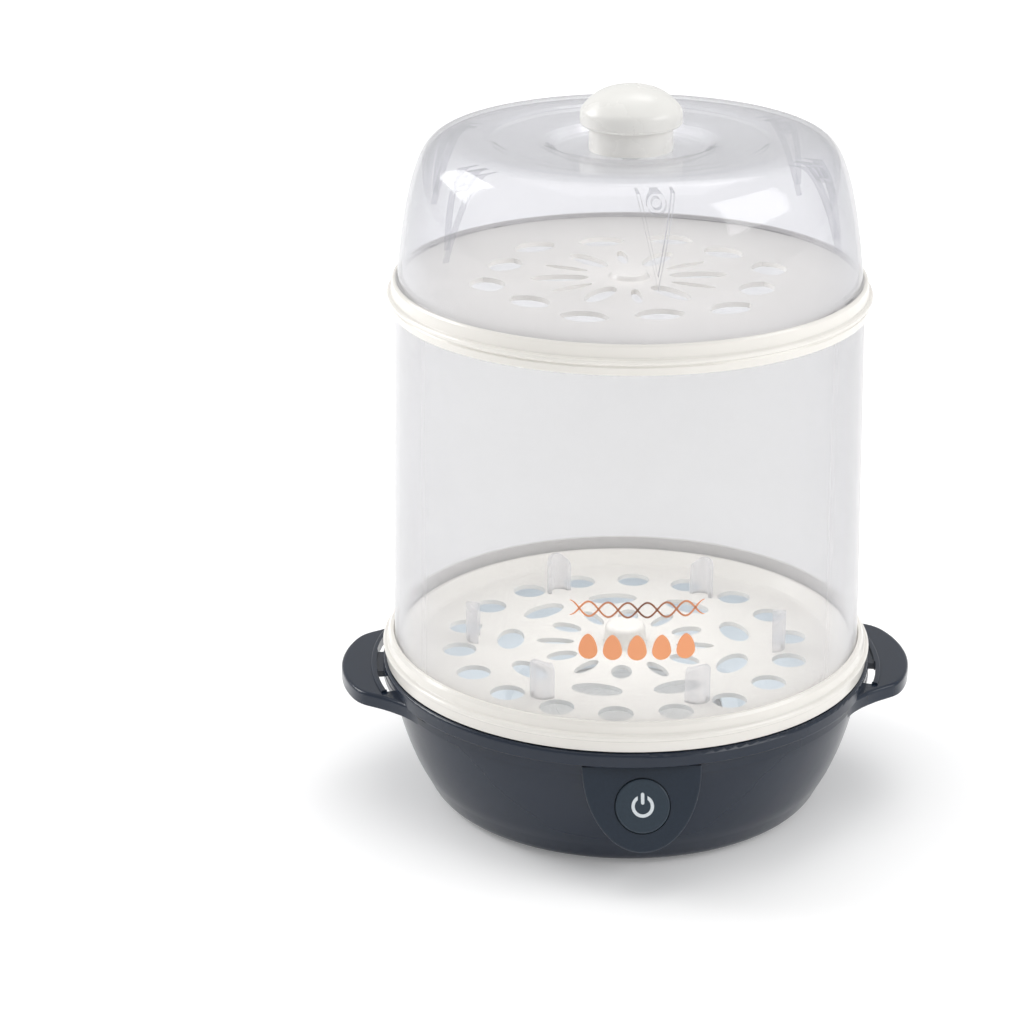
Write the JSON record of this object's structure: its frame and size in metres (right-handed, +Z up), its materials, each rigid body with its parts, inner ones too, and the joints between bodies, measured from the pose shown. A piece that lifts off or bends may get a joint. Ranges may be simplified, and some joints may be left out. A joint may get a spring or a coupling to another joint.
{
  "type": "bottle sterilizer",
  "caption": "Electric steam steriliser: dark base with ear handles and a round button, frosted cylinder, white slotted trays and a clear lid with a knob.",
  "frame": {"origin": "centre of the footprint, on the surface that the rubber feet stand on", "axes": "+Z up, -Y towards the control panel and button, +X towards the right-hand ear handle"},
  "size_m": [0.2874, 0.2666, 0.3605],
  "materials": {
    "base_gloss": "dark slate blue, soft gloss moulded polypropylene",
    "panel_matte": "dark navy, fine matte texture",
    "button_satin": "grey-teal satin cap",
    "icon_light": "light grey inlay",
    "tray_white": "warm white satin polypropylene",
    "peg_frosted": "milky translucent polypropylene",
    "wall_frosted": "frosted translucent polypropylene",
    "lid_clear": "clear polycarbonate, slightly hazy",
    "knob_white": "white satin moulding",
    "plate_steel": "brushed stainless",
    "fastener_steel": "bright zinc plated",
    "spreader_aluminium": "cast, dull",
    "element_steel": "heat-dulled tube",
    "galvanised_steel": "pressed galvanised sheet",
    "seal_silicone": "translucent grey silicone",
    "foot_rubber": "dark matte elastomer",
    "board_green": "coated glass-epoxy board",
    "component_dark": "moulded component case",
    "capacitor_yellow": "dipped film capacitor",
    "thermostat_body": "phenolic case",
    "gland_black": "black nylon",
    "terminal_white": "natural nylon",
    "terminal_brass": "plated screws",
    "led_lens": "small clear lens"
  },
  "bodies": {
    "base": {"base_bowl": "base_gloss", "base_top_shell": "base_gloss", "control_panel": "panel_matte", "switch_housing": "component_dark", "control_board": "board_green", "board_screws": "fastener_steel", "power_relay": "component_dark", "dropper_capacitor": "capacitor_yellow", "indicator_led": "led_lens", "heating_plate": "plate_steel", "plate_gasket": "seal_silicone", "heat_spreader": "spreader_aluminium", "heating_element": "element_steel", "plate_clamp_ring": "galvanised_steel", "plate_screws": "fastener_steel", "thermostat": "thermostat_body", "thermostat_strap": "galvanised_steel", "strap_screws": "fastener_steel", "thermal_fuse": "fastener_steel", "fuse_clip": "galvanised_steel", "cord_gland": "gland_black", "gland_nut": "gland_black", "cord_clamp": "gland_black", "clamp_screws": "fastener_steel", "terminal_block": "terminal_white", "terminal_screws": "terminal_brass", "shell_screws": "fastener_steel", "rubber_foot_1": "foot_rubber", "rubber_foot_2": "foot_rubber", "rubber_foot_3": "foot_rubber", "rubber_foot_4": "foot_rubber"},
    "power_button": {"power_button": "button_satin", "power_icon": "icon_light", "switch_plunger": "component_dark"},
    "lower_tray": {"lower_tray": "tray_white", "bottle_peg_1": "peg_frosted", "bottle_peg_2": "peg_frosted", "bottle_peg_3": "peg_frosted", "bottle_peg_4": "peg_frosted", "bottle_peg_5": "peg_frosted", "bottle_peg_6": "peg_frosted"},
    "cylinder": {"cylinder_wall": "wall_frosted"},
    "upper_tray": {"upper_tray": "tray_white"},
    "lid": {"lid": "lid_clear", "lid_knob": "knob_white", "knob_washer": "fastener_steel", "knob_screw": "fastener_steel"}
  },
  "joints": [
    {"name": "button_press", "type": "slide", "parent": "base", "child": "power_button", "axis": [0, 0.9272, -0.3746], "range_m": [0, 0.0012], "stiffness_N_per_m": 1500},
    {"name": "lower_tray_lift", "type": "slide", "parent": "base", "child": "lower_tray", "axis": [0, 0, 1], "range_m": [0, 0.08]},
    {"name": "cylinder_lift", "type": "slide", "parent": "lower_tray", "child": "cylinder", "axis": [0, 0, 1], "range_m": [0, 0.15]},
    {"name": "upper_tray_lift", "type": "slide", "parent": "cylinder", "child": "upper_tray", "axis": [0, 0, 1], "range_m": [0, 0.1]},
    {"name": "lid_lift", "type": "slide", "parent": "upper_tray", "child": "lid", "axis": [0, 0, 1], "range_m": [0, 0.12]}
  ]
}
